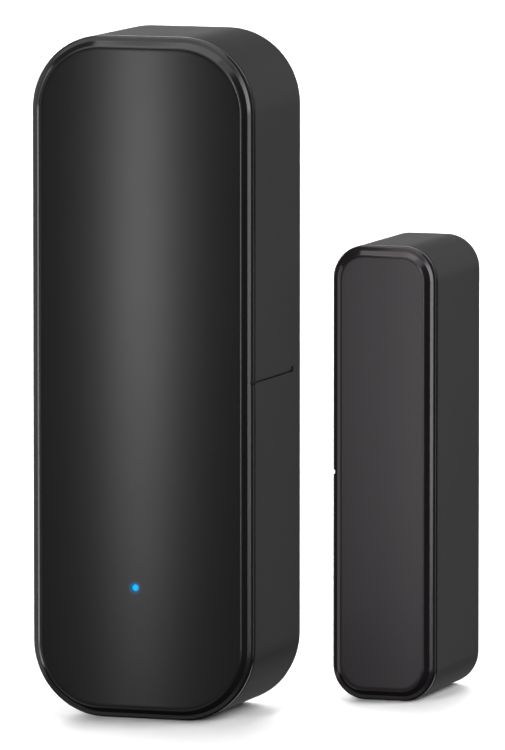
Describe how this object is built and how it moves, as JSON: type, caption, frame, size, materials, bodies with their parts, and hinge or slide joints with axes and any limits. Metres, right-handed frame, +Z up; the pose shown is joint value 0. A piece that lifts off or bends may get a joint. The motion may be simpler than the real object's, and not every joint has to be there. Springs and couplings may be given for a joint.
{
  "type": "door contact sensor",
  "caption": "Wireless door contact sensor: a tall rounded black reed-switch unit with a status light, and a shorter matching magnet unit that travels with the door.",
  "frame": {"origin": "centre of the sensor unit's adhesive pad, on the face that goes against the door frame", "axes": "+Y points into the door frame behind the sensor, -Y is the front with the status light, +Z is up along the sensor's long side, and the magnet unit stands on the +X side"},
  "size_m": [0.0371, 0.0375, 0.071],
  "materials": {
    "case_plastic": "fine matt black moulding",
    "front_plastic": "satin black moulding",
    "adhesive_foam": "grey acrylic foam tape",
    "light_pipe": "lit clear blue",
    "led_resin": "clear resin",
    "circuit_board": "green solder mask",
    "module_board": "dark blue solder mask",
    "plated_steel": "nickel plated",
    "capacitor_can": "satin",
    "switch_plastic": "moulded",
    "button_plastic": "light grey moulding",
    "reed_glass": "clear greenish glass",
    "screw_steel": "zinc plated",
    "battery_can": "printed sleeve with a plain band",
    "magnet_plating": "nickel plated",
    "black_foam": "closed-cell foam"
  },
  "bodies": {
    "sensor": {"main_case": "case_plastic", "front_cover": "front_plastic", "light_pipe": "light_pipe", "status_led": "led_resin", "circuit_board": "circuit_board", "wifi_module_board": "module_board", "wifi_shield_can": "plated_steel", "bulk_capacitor": "capacitor_can", "reset_switch_body": "switch_plastic", "reed_switch_glass": "reed_glass", "reed_blade_upper": "plated_steel", "board_screw_upper": "screw_steel", "board_screw_lower": "screw_steel", "battery_left": "battery_can", "battery_right": "battery_can", "negative_spring": "plated_steel", "bridge_spring": "plated_steel", "negative_contact": "plated_steel", "positive_contact": "plated_steel", "bridge_contact": "plated_steel"},
    "sliding_cover": {"rear_cover": "case_plastic", "sensor_adhesive_pad": "adhesive_foam"},
    "button": {"reset_button": "button_plastic"},
    "reed_blade": {"reed_blade_lower": "plated_steel"},
    "magnet_unit": {"magnet_case": "case_plastic", "magnet_front_cover": "front_plastic", "magnet_rear_cover": "case_plastic", "magnet_adhesive_pad": "adhesive_foam", "bar_magnet": "magnet_plating", "magnet_foam": "black_foam"}
  },
  "joints": [
    {"name": "magnet_travel", "type": "slide", "parent": "sensor", "child": "magnet_unit", "axis": [0, 1, 0], "range_m": [-0.0209, 0.06]},
    {"name": "rear_cover_slide", "type": "slide", "parent": "sensor", "child": "sliding_cover", "axis": [0, 0, -1], "range_m": [0, 0.072]},
    {"name": "reset_button_press", "type": "slide", "parent": "sensor", "child": "button", "axis": [0, -1, 0], "range_m": [0, 0.0004], "stiffness_N_per_m": 100},
    {"name": "reed_blade_flex", "type": "hinge", "parent": "sensor", "child": "reed_blade", "pos_m": [0.0092, -0.01235, -0.005], "axis": [1, 0, 0], "range_deg": [0, 2], "stiffness_Nm_per_rad": 0.00001}
  ]
}
